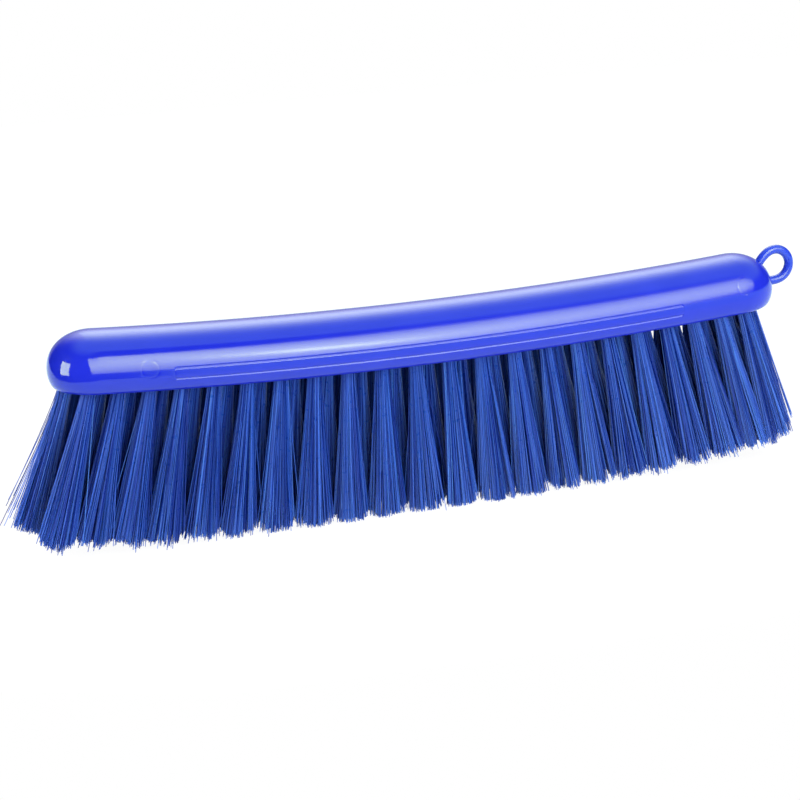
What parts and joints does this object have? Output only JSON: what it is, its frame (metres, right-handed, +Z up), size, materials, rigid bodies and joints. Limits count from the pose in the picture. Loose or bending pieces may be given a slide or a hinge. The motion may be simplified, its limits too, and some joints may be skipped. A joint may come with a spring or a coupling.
{
  "type": "flour brush",
  "caption": "Curved bench brush for sweeping flour: a bowed moulded block with round ends, a hanging eye and three rows of long bristle tufts that fan out and end on a trimmed curve",
  "frame": {"origin": "on the surface that the bristle tips stand on, under the middle of the brush", "axes": "X along the brush towards the hanging eye, Y across it to the back, Z up from the tips to the block"},
  "size_m": [0.3284, 0.0332, 0.0883],
  "materials": {
    "block_plastic": "glossy moulded blue plastic",
    "bristle_filament": "satin blue filament"
  },
  "bodies": {
    "root": {"back_tuft_01": "bristle_filament", "back_tuft_02": "bristle_filament", "back_tuft_03": "bristle_filament", "back_tuft_04": "bristle_filament", "back_tuft_05": "bristle_filament", "back_tuft_06": "bristle_filament", "back_tuft_07": "bristle_filament", "back_tuft_08": "bristle_filament", "back_tuft_09": "bristle_filament", "back_tuft_10": "bristle_filament", "back_tuft_11": "bristle_filament", "back_tuft_12": "bristle_filament", "back_tuft_13": "bristle_filament", "back_tuft_14": "bristle_filament", "back_tuft_15": "bristle_filament", "back_tuft_16": "bristle_filament", "back_tuft_17": "bristle_filament", "back_tuft_18": "bristle_filament", "back_tuft_19": "bristle_filament", "back_tuft_20": "bristle_filament", "back_tuft_21": "bristle_filament", "back_tuft_22": "bristle_filament", "brush_block": "block_plastic", "front_tuft_01": "bristle_filament", "front_tuft_02": "bristle_filament", "front_tuft_03": "bristle_filament", "front_tuft_04": "bristle_filament", "front_tuft_05": "bristle_filament", "front_tuft_06": "bristle_filament", "front_tuft_07": "bristle_filament", "front_tuft_08": "bristle_filament", "front_tuft_09": "bristle_filament", "front_tuft_10": "bristle_filament", "front_tuft_11": "bristle_filament", "front_tuft_12": "bristle_filament", "front_tuft_13": "bristle_filament", "front_tuft_14": "bristle_filament", "front_tuft_15": "bristle_filament", "front_tuft_16": "bristle_filament", "front_tuft_17": "bristle_filament", "front_tuft_18": "bristle_filament", "front_tuft_19": "bristle_filament", "front_tuft_20": "bristle_filament", "front_tuft_21": "bristle_filament", "front_tuft_22": "bristle_filament", "hanging_eye": "block_plastic", "middle_tufts_01": "bristle_filament", "middle_tufts_02": "bristle_filament", "middle_tufts_03": "bristle_filament", "middle_tufts_04": "bristle_filament", "middle_tufts_05": "bristle_filament", "middle_tufts_06": "bristle_filament", "middle_tufts_07": "bristle_filament", "middle_tufts_08": "bristle_filament", "middle_tufts_09": "bristle_filament", "middle_tufts_10": "bristle_filament", "middle_tufts_11": "bristle_filament", "middle_tufts_12": "bristle_filament"}
  },
  "joints": []
}
